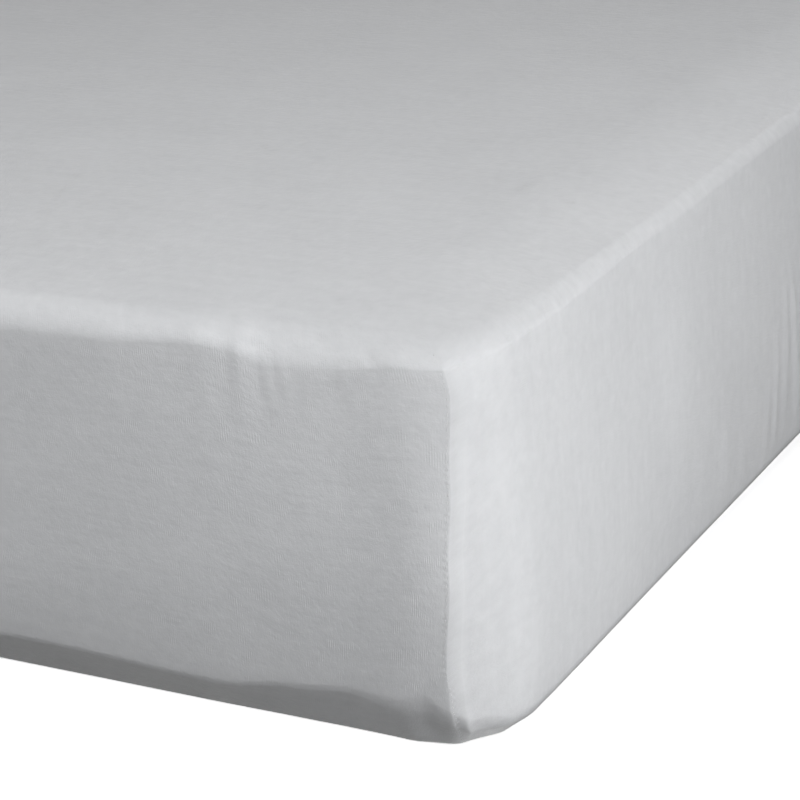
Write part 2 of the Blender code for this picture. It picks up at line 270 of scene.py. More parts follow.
# Puckers beside the seams: height, how far they reach, how far off the seam they start, and their pitch.
PUCKER = 0.00022
PUCKER_REACH = 0.013
PUCKER_START = 0.0015
PUCKER_PITCH = 0.0125
# The sway of the puckers' rhythm: amount, size, seed.
PUCKER_SWAY = (3.0, 0.030, 3)
# Their strength halfway up, what is added to it above one height and below another, and how soon.
PUCKER_MIDDLE = 0.35
PUCKER_ABOVE = (0.65, 0.165)
PUCKER_BELOW = (0.5, 0.075)
PUCKER_FADE = 0.03

# Waves over the front's top edge by the near corner: height, length and start. Then the run and the slope,
# as the angle that the cloth faces, where they are highest, each with how far they reach from it.
EDGE_WAVE = 0.0005
EDGE_WAVE_LENGTH = 0.034
EDGE_WAVE_START = 0.8
EDGE_WAVE_RUN = (-0.075, 0.045)
EDGE_WAVE_FACING = (0.9, 0.6)

# Low swells, as layers of noise. The top's are shorter along the bed, and are full this far in from its edge.
TOP_SWELLS = (
    # height, size, seed
    (0.00045, 0.16, 1),
    (0.00022, 0.075, 2),
)
WALL_SWELLS = (
    # height, size, seed
    (0.00035, 0.11, 4),
    (0.00016, 0.035, 5),
)
TOP_SWELL_STRETCH = (1.0, 2.2, 1.0)
TOP_SWELL_FULL = 0.06
# Rows that face up more than this belong to the top.
FACES_UP = math.radians(87)

# Gathers of the cloth under the mattress: depth, length, the sway of their rhythm and its length, and the
# share of the way in to the hem over which they grow.
GATHER = 0.0009
GATHER_LENGTH = 0.034
GATHER_SWAY = 2.0
GATHER_SWAY_LENGTH = 0.31
GATHER_GROWS = 0.5

# Pitch, length and thickness of the stitches.
CORNER_STITCH = (0.0042, 0.0026, 0.00042)
HEM_STITCH = (0.0045, 0.0034, 0.0005)
STITCH_LINE = (
    # height, how far the corner's stitches lie beside the seam, on the short side's panel
    (0.030, -0.0014),
    (0.046, -0.0012),
    (0.062, 0.0016),
    (0.240, 0.0016),
)
# Rows that the corner's stitches leave out below the top's edge, and rows that they take in from the foot's.
CORNER_STITCH_ROWS = (10, 3)
# Stations beside the seam between which the corner's stitches are placed.
BESIDE_SEAM = (-6, -4, -2, 0, 2, 4)
# The rows of the hem's stitches, counted from the hem, and how far they lie off the cloth.
HEM_STITCH_ROWS = (-2, -3)
HEM_STITCH_LIFT = 0.0002
# How far the stitches lean at random, and the least and greatest shares of their size.
STITCH_LEANS = 0.12
STITCH_LEAST = (0.85, 0.85, 0.88)
STITCH_GREATEST = (1.15, 1.15, 1.08)

# The hem's turning, up and back outwards inside the sheet.
HEM_TURNING = (
    # outwards from the hem's fold, up
    (-0.0004, 0.0002),
    (-0.0004, 0.0007),
    (0.0000, 0.0010),
    (0.0060, 0.0010),
    (0.0120, 0.0010),
)

# How far the mattress lies under the cloth, its least height, its grid, and which stations and rows it takes.
MATTRESS_BELOW = 0.0026
MATTRESS_FOOT = 0.0030
MATTRESS_GRID = 0.05
MATTRESS_EVERY = 2
MATTRESS_ROWS = 3

# The rounding of the flat middles' corners, their margin as a share of the grid, and the joining distance.
TOP_ROUND = 0.03
UNDERSIDE_ROUND = 0.12
MIDDLE_MARGIN = 0.6
JOINED = 1e-7

# ------------ small functions


def clamp(value):
    return np.clip(value, 0.0, 1.0)


def soft_step(value):
    value = clamp(value)
    return value * value * (3 - 2 * value)


def mix(low, high, share):
    return low + (high - low) * share


def between(table, keys):
    """Each column after the first of a table whose first column rises, read smoothly at the keys."""
    table = np.array(table)
    after = np.clip(np.searchsorted(table[:, 0], keys, side="right"), 1, len(table) - 1)
    low, high = table[after - 1], table[after]
    share = soft_step((keys - low[..., 0]) / (high[..., 0] - low[..., 0]))
    return [mix(low[..., c], high[..., c], share) for c in range(1, table.shape[1])]


def hermite(start, start_pull, end, end_pull, share):
    """A smooth curve from start to end whose ends head along the pulls."""
    share = clamp(share)
    square, cube = share**2, share**3
    return (
        start * (2 * cube - 3 * square + 1)
        + start_pull * (cube - 2 * square + share)
        + end * (3 * square - 2 * cube)
        + end_pull * (cube - square)
    )


def rough(points, size, seed):
    """Smooth noise, about -1 to 1, over an array of points, with lumps of this size."""
    offset = Vector((seed * 17.3, seed * 5.1, seed * 9.7))
    flat = points.reshape(-1, 3) / size
    values = [noise.noise(Vector(point) + offset) for point in flat]
    return np.array(values).reshape(points.shape[:-1])


# ------------ stations round the sheet

# Steps round a corner: 0 and 3 are its ends on its short and long side, 1 is the seam and 2 the end of the
# flat band past it.
CORNER_STEPS_NEAR = np.concatenate(
    [
        np.linspace(0, 0.9, 10),
        (0.95, 1.0, 1.035, 1.07, 1.115, 1.16),
        np.linspace(1.3, 1.8, 4),
        (1.88, 1.95, 2.0, 2.05, 2.1),
        np.linspace(2.15, 3.0, 24),
    ]
)
CORNER_STEPS_FAR = np.concatenate(
    [
        np.linspace(0, 0.9, 5),
        (0.95, 1.0, 1.035, 1.07, 1.16, 1.5, 1.8, 1.95, 2.02, 2.1),
        np.linspace(2.2, 3.0, 9),
    ]
)
FRONT_SPACING = (
    # run, spacing
    (-1.40, 0.011),
    (-0.42, 0.009),
    (-0.33, 0.0036),
    (-0.04, 0.0030),
)
RIGHT_SPACING = (
    # run, spacing
    (0.04, 0.0035),
    (0.12, 0.0060),
    (0.36, 0.0050),
    (0.40, 0.0024),
    (0.50, 0.0026),
    (0.56, 0.0060),
    (0.70, 0.0095),
    (2.00, 0.0095),
)
PLAIN_SPACING = 0.0100


def stepped(start, end, spacing_table):
    """Runs from start to end, without the ends, whose spacing follows a table."""
    table = np.array(spacing_table)
    runs = [start]
    while runs[-1] < end:
        runs.append(runs[-1] + np.interp(runs[-1], table[:, 0], table[:, 1]))
    runs = np.array(runs)
    runs = start + (runs - start) * (end - start) / (runs[-1] - start)
    return runs[1:-1]


def plain_side(start, end):
    return stepped(start, end, ((start, PLAIN_SPACING), (end, PLAIN_SPACING)))


def stations():
    """Round the mattress, anticlockwise from above: run, share across, share along, corner step."""
    half_x = WIDTH / 2 - CORNER_X
    half_y = LENGTH / 2 - CORNER_Y
    rows = []

    def side(runs, across, along):
        for run in runs:
            rows.append((run, across(run), along(run), -1.0))

    def corner(run, across, along, steps, short_first):
        for step in steps if short_first else steps[::-1]:
            share = step / 3
            reach = mix(-CORNER_X, CORNER_Y, share) if short_first else mix(CORNER_X, -CORNER_Y, share)
            rows.append((run + reach, across, along, step))

    front = stepped(-WIDTH + CORNER_X, -CORNER_X, FRONT_SPACING)
    right = stepped(CORNER_Y, LENGTH - CORNER_Y, RIGHT_SPACING)
    back = plain_side(LENGTH + CORNER_X, HALF_ROUND - CORNER_X)
    left = plain_side(-HALF_ROUND + CORNER_Y, -WIDTH - CORNER_Y)
    side(front, lambda run: (run + WIDTH / 2) / half_x, lambda run: -1.0)
    corner(0.0, 1.0, -1.0, CORNER_STEPS_NEAR, True)
    side(right, lambda run: 1.0, lambda run: (run - LENGTH / 2) / half_y)
    corner(LENGTH, 1.0, 1.0, CORNER_STEPS_FAR, False)
    side(back, lambda run: (LENGTH + WIDTH / 2 - run) / half_x, lambda run: 1.0)
    corner(-HALF_ROUND, -1.0, 1.0, CORNER_STEPS_FAR, True)
    side(left, lambda run: -1.0, lambda run: (-run - WIDTH - LENGTH / 2) / half_y)
    corner(-WIDTH, -1.0, -1.0, CORNER_STEPS_FAR, False)
    return np.array(rows).T


# ------------ rows down the sheet

TOP_ROWS = (0.094, 0.086, 0.078, 0.070, 0.062, 0.054, 0.047, 0.040)
TOP_GRID = 0.016
EDGE_TURNS = np.radians(np.linspace(90, 0, 19))
WALL_ROWS = np.linspace(0, 1, 34)[1:-1]
BEND_SHARES = np.linspace(0, 1, 7)
SLOPE_SHARES = (0.35, 0.70)
FOOT_SHARES = (0.0, 0.33, 0.67, 1.0)
TUCK_SHARES = np.linspace(0, 1, 10)[1:]


def sagging(inset):
    """The share of the edge's sag this far in: a slope that grows gently towards the edge."""
    return clamp(1 - inset / SAG_REACH) ** SAG_POWER


class Cloth:
    """The sheet's surface as arrays over stations and rows."""

    def __init__(self):
        self.run, self.across, self.along, self.step = stations()
        edge_r, reach, belly, belly_z, lean = between(TOP_EDGE, self.run)
        bend_z, foot_in, bend_r = between(LOWER_EDGE, self.run)
        slope = np.arctan2(foot_in, bend_z)
        bend_top = bend_z + bend_r * np.tan(slope / 2)
        foot_reach = FOOT_R * np.tan((math.pi / 2 - slope) / 2)
        (sag,) = between(SAG, self.run)
        same = np.ones_like(self.run)
        rows = []

        def row(inset, z, faces, stands, corner=None):
            inset = inset * same
            if corner is None:
                corner = np.maximum(CORNER_LEAST, 1 - inset / CORNER_TIGHTENS)
            rows.append((inset, z * same, faces * same, stands * same, corner * same))

        for inset in TOP_ROWS:
            row(inset, HEIGHT - sag * sagging(inset), math.pi / 2, 0.0)
        self.edge_row = len(rows)
        for turn in EDGE_TURNS:
            inset = reach * (1 - math.cos(turn))
            z = HEIGHT - edge_r * (1 - math.sin(turn)) - sag * sagging(inset)
            row(inset, z, turn, math.cos(turn))
        for share in WALL_ROWS:
            row(0.0, mix(HEIGHT - edge_r - sag * sagging(0.0), bend_top, share), 0.0, 1.0)
        for share in BEND_SHARES:
            inset = bend_r * (1 - np.cos(share * slope))
            z = bend_top - bend_r * np.sin(share * slope)
            row(inset, z, -share * slope, mix(1, BEND_RELIEF, share))
        bend_end = rows[-1]
        foot = []
        for share in FOOT_SHARES:
            turn = mix(slope, math.pi / 2, share)
            inset = foot_in + foot_reach - FOOT_R * np.cos(turn)
            foot.append((inset, FOOT_R * (1 - np.sin(turn)), -turn, 0.0))
        for share in SLOPE_SHARES:
            inset, z = (mix(bend_end[i], foot[0][i], share) for i in (0, 1))
            row(inset, z, -slope, BEND_RELIEF * (1 - share))
        self.foot_row = len(rows)
        for facts in foot:
            row(*facts)
        foot_end = rows[-1]
        hem = HEM + HEM_WAVE * np.sin(math.tau * self.run / HEM_WAVE_LENGTH)
        for share in TUCK_SHARES:
            inset = mix(foot_end[0], hem, share)
            corner = mix(foot_end[4], HEM_CORNER, soft_step(share))
            row(inset, 0.0, -math.pi / 2, 0.0, corner)
        columns = [np.stack([facts[i] for facts in rows], axis=1) for i in range(5)]
        self.inset, self.z, self.faces, self.stands, self.corner = columns
        on_edge = 1 - soft_step((self.inset - reach[:, None]) / STANDS_FADE)
        below = clamp((belly_z[:, None] - self.z) / (belly_z - bend_z)[:, None])
        above = clamp((self.z - belly_z[:, None]) / (HEIGHT - belly_z)[:, None])
        stands_out = belly[:, None] * (1 - below**2) - lean[:, None] * above**LEAN_POWER
        self.set_in = self.inset - stands_out * on_edge * (self.z > 0)
        self.tuck_share = np.zeros(len(rows))
        self.tuck_share[-len(TUCK_SHARES):] = TUCK_SHARES
        self.place()

    def corner_curve(self):
        """How far each point of a corner lies from the faces of its long side and its short side."""
        across, along, turn, crease = between(SEAM, self.z)
        turn, crease = np.radians(turn), np.radians(crease)
        step = self.step[:, None] * np.ones_like(self.z)
        least, narrow_below = SEAM_EDGE_FOOT
        wide = SEAM_EDGE * mix(least, 1, soft_step(self.z / narrow_below))
        edge_across = across - wide * math.cos(SEAM_EDGE_TURN)
        edge_along = along + wide * math.sin(SEAM_EDGE_TURN)
        edge_turn = np.arctan2(CORNER_Y - edge_along, 2 * edge_across)
        low, high = SEAM_FADES
        crease = crease * (1 - soft_step((self.z - low) / (high - low)))
        flat = np.zeros_like(across)
        knots = (
            # place along each axis, the turn that the cloth arrives with and the one that it leaves with
            ((CORNER_X + flat, flat), flat, flat),
            ((across, along), turn, turn + crease),
            ((edge_across, edge_along), edge_turn, edge_turn),
            ((flat, CORNER_Y + flat), math.pi / 2 + flat, math.pi / 2 + flat),
        )
        parts = []
        for axis in (0, 1):
            curve = np.zeros_like(across)
            for index, ((start, _, leaves), (end, arrives, _)) in enumerate(zip(knots, knots[1:])):
                pull = np.hypot(end[0] - start[0], end[1] - start[1]) * (CORNER_FULL if index == 2 else 1.0)
                leaving = (-np.cos(leaves), np.sin(leaves))[axis] * pull
                arriving = (-np.cos(arrives), np.sin(arrives))[axis] * pull
                piece = hermite(start[axis], leaving, end[axis], arriving, step - index)
                curve = np.where((step > index) | (index == 0), piece, curve)
            parts.append(curve)
        return parts

    def place(self):
        """Every point, with its normal, from how far it is set in and where it lies round the corner."""
        across, along = self.across[:, None], self.along[:, None]
        in_corner = self.step[:, None] >= 0
        from_long, from_short = self.corner_curve()
        short_side = (np.abs(along) == 1) & ~in_corner
        from_long = np.where(in_corner, from_long, np.where(short_side, CORNER_X, 0.0))
        from_short = np.where(in_corner, from_short, np.where(short_side, 0.0, CORNER_Y))
        x = across * (WIDTH / 2 - self.set_in - from_long * self.corner)
        y = along * (LENGTH / 2 - self.set_in - from_short * self.corner)
        self.points = np.stack([x, y, self.z], axis=2)
        round_the_sheet = np.roll(self.points, -1, axis=0) - np.roll(self.points, 1, axis=0)
        down = np.gradient(self.points, axis=1)
        normals = np.cross(down, round_the_sheet)
        self.normals = normals / np.linalg.norm(normals, axis=2, keepdims=True)
        self.unroll()

    def unroll(self):
        """The flat cloth's own measures, u and v: those of the top, and on down the panel of each side."""
        lengths = np.linalg.norm(np.diff(self.points, axis=1), axis=2)
        drop = np.cumsum(lengths, axis=1)
        drop = np.concatenate([np.zeros_like(drop[:, :1]), drop], axis=1)
        self.drop = np.maximum(0, drop - drop[:, self.edge_row, None])
        edge = self.points[:, self.edge_row, None, :]
        on_top = np.arange(self.z.shape[1])[None, :] <= self.edge_row
        base_u = np.where(on_top, self.points[:, :, 0], edge[:, :, 0])
        base_v = np.where(on_top, self.points[:, :, 1], edge[:, :, 1])
        self.short_uv = np.stack([base_u, base_v + self.along[:, None] * self.drop], axis=2)

    def on_short_panel(self):
        """Whether each station belongs to a short side's panel: its side, or its part of a corner."""
        in_corner = self.step >= 0
        return np.where(in_corner, self.step <= 1, np.abs(self.along) == 1)

    def raise_by(self, height):
        self.points = self.points + self.normals * height[:, :, None]


def fold_stand(cloth):
    """How far the upright folds stand out of the walls."""
    run, z = cloth.run[:, None], cloth.z
    tallest = np.zeros_like(z)
    for middle, half, stands, low, high, lean in FOLDS:
        rise = clamp((z - low) / (high - low))
        away = clamp(np.abs(run - middle + lean * rise) / half)
        ends = soft_step(FOLD_STARTS * rise + FOLD_START_SHARE) * soft_step(FOLD_ENDS * (1 - rise))
        ends = ends * (z >= low) * (z <= high)
        tallest = np.maximum(tallest, stands * ends * (1 - soft_step(away)))
    return tallest


def seam_lift(cloth):
    """How far the flat band past each seam lies above the cloth."""
    table = np.array(SEAM_LIFT)
    lift = np.where(cloth.step >= 0, np.interp(cloth.step, table[:, 0], table[:, 1]), 0.0)
    return lift[:, None] * np.ones_like(cloth.z)


def seam_distance(cloth):
    """Distance along the short side's panel from the seam, in metres; far where there is no seam."""
    across = between(SEAM, cloth.z)[0]
    before_seam = (CORNER_X - across) * (1 - cloth.step[:, None])
    from_corner = np.minimum(
        np.abs(np.abs(cloth.run) - CORNER_X), np.abs(np.abs(np.abs(cloth.run) - WIDTH) - CORNER_X)
    )
    beside = CORNER_X - across + from_corner[:, None]
    distance = np.where(cloth.step[:, None] >= 0, before_seam, beside)
    return np.where(cloth.on_short_panel()[:, None], distance, 1.0)


def seam_puckers(cloth):
    """Short level puckers that the seam's stitches pull into the short side's panel."""
    away = seam_distance(cloth)
    reach = np.exp(-away / PUCKER_REACH) * soft_step(away / PUCKER_START)
    (more_above, above), (more_below, below) = PUCKER_ABOVE, PUCKER_BELOW
    strong = PUCKER_MIDDLE + more_above * soft_step((cloth.z - above) / PUCKER_FADE)
    strong += more_below * soft_step((below - cloth.z) / PUCKER_FADE)
    sway, size, seed = PUCKER_SWAY
    wave = np.sin(math.tau * cloth.z / PUCKER_PITCH + sway * rough(cloth.points, size, seed))
    return PUCKER * reach * strong * wave * (cloth.stands > 0)


def seam_map(cloth):
    """Distance beside the nearest corner seam, below zero past it, and height, for the stitches' bumps."""
    step = cloth.step[:, None]
    past = -(step - 1) * SEAM_EDGE
    just_past = (step > 1) & (step < 2)
    return np.stack([np.where(just_past, past, seam_distance(cloth)), cloth.z], axis=2)


def crease_height(cloth):
    """The creases of the near corner, drawn on its short side's panel."""
    u, v = cloth.short_uv[:, :, 0], cloth.short_uv[:, :, 1]
    height = np.zeros_like(u)
    for from_u, from_v, to_u, to_v, half, tall in CREASES:
        along_u, along_v = to_u - from_u, to_v - from_v
        size = math.hypot(along_u, along_v)
        share = ((u - from_u) * along_u + (v - from_v) * along_v) / size**2
        away = np.abs((u - from_u) * along_v - (v - from_v) * along_u) / size
        into, out_of = share + CREASE_ENDS, 1 + CREASE_ENDS - share
        ends = soft_step(into / (2 * CREASE_ENDS)) * soft_step(out_of / (2 * CREASE_ENDS))
        height += tall * ends * (1 - soft_step(away / half))
    return height


def layers(points, swells):
    """Layers of smooth noise, added up."""
    return sum(height * rough(points, size, seed) for height, size, seed in swells)


def top_swell(points):
    """Low swells over the top, as cloth pulled tight still has."""
    swell = layers(points * np.array(TOP_SWELL_STRETCH), TOP_SWELLS)
    inset = np.minimum(WIDTH / 2 - np.abs(points[..., 0]), LENGTH / 2 - np.abs(points[..., 1]))
    return swell * soft_step(inset / TOP_SWELL_FULL)


def swell_height(cloth):
    """The top's low swells and slight waves in the walls."""
    walls = layers(cloth.points, WALL_SWELLS) * cloth.stands
    return np.where(cloth.faces > FACES_UP, top_swell(cloth.points), walls)


def flat_middle(ring, inset, round_by, spacing):
    """Points spread inside a ring this far inside the sheet's outline, and the faces that join them all."""
    start = np.array([WIDTH / 2 - inset, LENGTH / 2 - inset]) - MIDDLE_MARGIN * spacing
    count = np.ceil(2 * start / spacing).astype(int)
    across = np.linspace(-start[0], start[0], count[0])
    along = np.linspace(-start[1], start[1], count[1])
    x, y = (part.ravel() for part in np.meshgrid(across, along))
    past_x = np.maximum(0, np.abs(x) - start[0] + round_by)
    past_y = np.maximum(0, np.abs(y) - start[1] + round_by)
    added = np.stack([x, y], axis=1)[np.hypot(past_x, past_y) < round_by]
    points = [Vector(point) for point in np.concatenate([ring[:, :2], added])]
    edges = [(i, (i + 1) % len(ring)) for i in range(len(ring))]
    _, _, faces, origins, _, _ = geometry.delaunay_2d_cdt(points, edges, [], 1, JOINED)
    return added, [[origins[corner][0] for corner in face] for face in faces]


def tuck_gathers(cloth):
    """Radial gathers of the cloth under the mattress, which the hem's elastic draws up."""
    sway = GATHER_SWAY * np.sin(math.tau * cloth.run / GATHER_SWAY_LENGTH)
    wave = 0.5 + 0.5 * np.sin(math.tau * cloth.run / GATHER_LENGTH + sway)
    strength = soft_step(cloth.tuck_share / GATHER_GROWS)
    return -GATHER * wave[:, None] * strength[None, :]


def turned_hem(points):
    """The hem's turning: its cut edge folded up and back outwards inside the sheet."""
    outwards = points[:, -2] - points[:, -1]
    outwards[:, 2] = 0
    outwards /= np.linalg.norm(outwards, axis=1, keepdims=True)
    rows = [points[:, -1] + outwards * out + np.array([0, 0, up]) for out, up in HEM_TURNING]
    return np.stack(rows, axis=1)


def near_edge_waves(cloth):
    """Soft waves over the front's top edge, to the left of the near corner."""
    run = cloth.run[:, None]
    (middle, reach), (facing, facing_reach) = EDGE_WAVE_RUN, EDGE_WAVE_FACING
    near = np.exp(-((run - middle) / reach) ** 2)
    over = np.exp(-((cloth.faces - facing) / facing_reach) ** 2)
    wave = np.sin(math.tau * run / EDGE_WAVE_LENGTH + EDGE_WAVE_START)
    return EDGE_WAVE * near * over * wave


# ------------ materials


class Number:
    """A socket's number, so that shader maths reads as a plain expression."""

    def __init__(self, paint, socket):
        self.paint = paint
        self.socket = socket

    def math(self, operation, *values):
        return self.paint.node("ShaderNodeMath", {"operation": operation}, dict(enumerate((self, *values))))

    def __add__(self, other):
        return self.math("ADD", other)

    def __mul__(self, other):
        return self.math("MULTIPLY", other)

    def __sub__(self, other):
        return self.math("SUBTRACT", other)

    def sine(self):
        return self.math("SINE")

    def size(self):
        return self.math("ABSOLUTE")

    def smooth(self, low, high):
        """0 below low, 1 above high, softly between."""
        settings = {"interpolation_type": "SMOOTHSTEP"}
        return self.paint.node("ShaderNodeMapRange", settings, {0: self, 1: low, 2: high, 3: 0.0, 4: 1.0})


class Paint:
    """A material's nodes."""

    def __init__(self, name):
        self.material = bpy.data.materials.new(name)
        self.material.use_nodes = True
        self.tree = self.material.node_tree
        self.shader = self.tree.nodes["Principled BSDF"]

    def node(self, kind, settings, inputs, output=0):
        made = self.tree.nodes.new(kind)
        for name, value in settings.items():
            setattr(made, name, value)
        for name, value in inputs.items():
            if isinstance(value, Number):
                self.tree.links.new(value.socket, made.inputs[name])
            else:
                made.inputs[name].default_value = value
        return Number(self, made.outputs[output])

    def into(self, name, value):
        if isinstance(value, Number):
            self.tree.links.new(value.socket, self.shader.inputs[name])
        else:
            self.shader.inputs[name].default_value = value

    def map_place(self, name):
        return self.node("ShaderNodeUVMap", {"uv_map": name}, {})

    def object_place(self):
        return self.node("ShaderNodeTexCoord", {}, {}, output=3)

    def scaled(self, place, by):
        return self.node("ShaderNodeVectorMath", {"operation": "MULTIPLY"}, {0: place, 1: by})

    def parts(self, place):
        split = self.tree.nodes.new("ShaderNodeSeparateXYZ")
        self.tree.links.new(place.socket, split.inputs[0])
        return [Number(self, socket) for socket in split.outputs]

    def noise(self, place, scale, detail=2.0, roughness=0.5):
        inputs = {"Vector": place, "Scale": scale, "Detail": detail, "Roughness": roughness}
        return self.node("ShaderNodeTexNoise", {"noise_dimensions": "3D"}, inputs)

    def colours(self, share, low, high):
        """A colour between two, by a number from 0 to 1."""
        inputs = {0: share, 6: (*low, 1.0), 7: (*high, 1.0)}
        return self.node("ShaderNodeMix", {"data_type": "RGBA"}, inputs, output=2)

    def bump(self, height, distance):
        self.into("Normal", self.node("ShaderNodeBump", {}, {"Distance": distance, "Height": height}))


# The spacing of the jersey's wales, of the ticking's twill both ways and of the thread's twist.
WALE = 0.0012
TWILL = 0.0021
TWILL_BACK = 0.0009
TWIST = 0.0008
# The stitches' bumps in the cloth: how far beside the seam, how far the row steps over to its other side and
# between which heights, the row's soft edge, and the heights between which it fades out.
BUMPS_BESIDE = 0.0018
BUMPS_STEP_OVER = 0.0035
BUMPS_OVER_FROM = (0.064, 0.046)
BUMPS_EDGE = (0.0016, 0.0004)
BUMPS_FADE = (0.195, 0.175)


def brushed_jersey(name, low, high):
    """Light grey cotton jersey with a brushed face: patches of fine wales along v, soft mottling and fuzz."""
    paint = Paint(name)
    place = paint.map_place("cloth")
    u, _, _ = paint.parts(place)
    beside, up, _ = paint.parts(paint.map_place("seam"))
    off_row = (beside + up.smooth(*BUMPS_OVER_FROM) * BUMPS_STEP_OVER - BUMPS_BESIDE).size()
    stitch_row = off_row.smooth(*BUMPS_EDGE)
    shown = up.smooth(*BUMPS_FADE) * paint.noise(place, 60.0).smooth(0.40, 0.60)
    rhythm = up * (math.tau / CORNER_STITCH[0]) + paint.noise(place, 90.0) * 1.6
    stitches = rhythm.sine() * stitch_row * shown
    sway = paint.noise(place, 55.0, 1.0) * 3.0
    wales = (u * (math.tau / WALE) + sway).sine()
    patches = paint.noise(place, 90.0, 2.0, 0.6).smooth(0.52, 0.66)
    mottle = paint.noise(place, 260.0, 4.0, 0.62)
    fuzz = paint.noise(place, 1500.0, 2.0, 0.6)
    ticks = paint.noise(paint.scaled(place, (850.0, 260.0, 1.0)), 1.0, 2.0, 0.6)
    streaks = paint.noise(paint.scaled(place, (30.0, 260.0, 1.0)), 1.0, 3.0, 0.55)
    height = wales * 0.11 * patches + mottle * 0.62 + ticks * 0.40 + fuzz * 0.20 + streaks * 0.26
    paint.bump(height + stitches * 0.28, 0.00042)
    cloudy = paint.noise(place, 14.0, 4.0, 0.6)
    flecks = paint.noise(place, 130.0, 3.0, 0.65)
    level = paint.noise(paint.scaled(place, (16.0, 150.0, 1.0)), 1.0, 3.0, 0.6)
    share = (cloudy - 0.5) * 0.6 + (flecks - 0.5) * 0.95 + (level - 0.5) * 0.5 + (fuzz - 0.5) * 0.25 + 0.5
    paint.into("Base Color", paint.colours(share, low, high))
    paint.into("Roughness", 0.93)
    paint.into("Specular IOR Level", 0.25)
    paint.into("Sheen Weight", 0.9)
    paint.into("Sheen Roughness", 0.3)
    return paint.material


def ticking(name):
    """Off-white twill of the mattress's cover."""
    paint = Paint(name)
    place = paint.object_place()
    x, y, _ = paint.parts(place)
    twill = ((x + y) * (math.tau / TWILL)).sine() * 0.5
    twill = twill + ((x - y) * (math.tau / TWILL_BACK)).sine() * 0.3
    slub = paint.noise(paint.scaled(place, (60.0, 500.0, 60.0)), 1.0, 2.0)
    paint.bump(twill * 0.5 + slub, 0.0003)
    share = twill * 0.25 + (slub - 0.5) * 0.8 + 0.5
    paint.into("Base Color", paint.colours(share, (0.62, 0.60, 0.56), (0.78, 0.765, 0.72)))
    paint.into("Roughness", 0.9)
    return paint.material


def sewing_thread(name):
    paint = Paint(name)
    x, y, z = paint.parts(paint.object_place())
    twist = ((x + y + z) * (math.tau / TWIST)).sine()
    paint.bump(twist, 0.0001)
    paint.into("Base Color", paint.colours(twist * 0.3 + 0.5, (0.50, 0.505, 0.515), (0.66, 0.665, 0.67)))
    paint.into("Roughness", 0.6)
    return paint.material


def pale_floor(name):
    paint = Paint(name)
    share = paint.noise(paint.object_place(), 6.0, 2.0)
    paint.into("Base Color", paint.colours(share, (0.86, 0.86, 0.86), (0.90, 0.90, 0.90)))
    paint.into("Roughness", 0.9)
    paint.into("Emission Color", (1.0, 1.0, 1.0, 1.0))
    paint.into("Emission Strength", 0.72)
    return paint.material


# ------------ pieces


def mesh_object(name, mesh, material):
    mesh.materials.clear()
    mesh.materials.append(material)
    made = bpy.data.objects.new(name, mesh)
    bpy.context.scene.collection.objects.link(made)
    return made


def make_sheet(cloth, material):
    """The sheet: one cloth over the top, down the four walls and in under the mattress to its turned hem."""
    on_short = cloth.on_short_panel()
    hem = turned_hem(cloth.points)
    points = np.concatenate([cloth.points, hem], axis=1)
    count, rows = points.shape[:2]
    turned = np.arange(1, hem.shape[1] + 1) * HEM_TURNING[-1][0] / hem.shape[1]
    down = np.concatenate([cloth.drop, cloth.drop[:, -1:] + turned], axis=1)
    edge = points[:, cloth.edge_row]
    beside = np.concatenate([seam_map(cloth), np.ones_like(hem[:, :, :2])], axis=1)
    faces, uvs, seam_uvs = [], [], []
    for left in range(count):
        right = (left + 1) % count
        short = on_short[left] and on_short[right]
        for row in range(rows - 1):
            corners = ((left, row), (left, row + 1), (right, row + 1), (right, row))
            faces.append([station * rows + r for station, r in corners])
            for station, r in corners:
                base = points[station, r] if r <= cloth.edge_row else edge[station]
                along_y = cloth.along[station] * down[station, r] if short else 0.0
                along_x = 0.0 if short else cloth.across[station] * down[station, r]
                uvs.append((base[0] + along_x, base[1] + along_y))
                seam_uvs.append(tuple(beside[station, r]))
    added, middle = flat_middle(points[:, 0], TOP_ROWS[0], TOP_ROUND, TOP_GRID)
    added = np.concatenate([added, np.full((len(added), 1), HEIGHT)], axis=1)
    added[:, 2] += top_swell(added)
    vertices = np.concatenate([points.reshape(-1, 3), added])
    for face in middle:
        corners = [corner * rows if corner < count else corner - count + count * rows for corner in face]
        faces.append(corners)
        uvs += [tuple(vertices[corner, :2]) for corner in corners]
        seam_uvs += [(1.0, 1.0)] * len(corners)
    mesh = bpy.data.meshes.new("sheet_cloth")
    mesh.from_pydata(vertices.tolist(), [], faces)
    for name, places in (("cloth", uvs), ("seam", seam_uvs)):
        layer = mesh.uv_layers.new(name=name)
        layer.data.foreach_set("uv", np.array(places, dtype=np.float32).ravel())
    mesh.shade_smooth()
    return mesh_object("sheet_cloth", mesh, material)


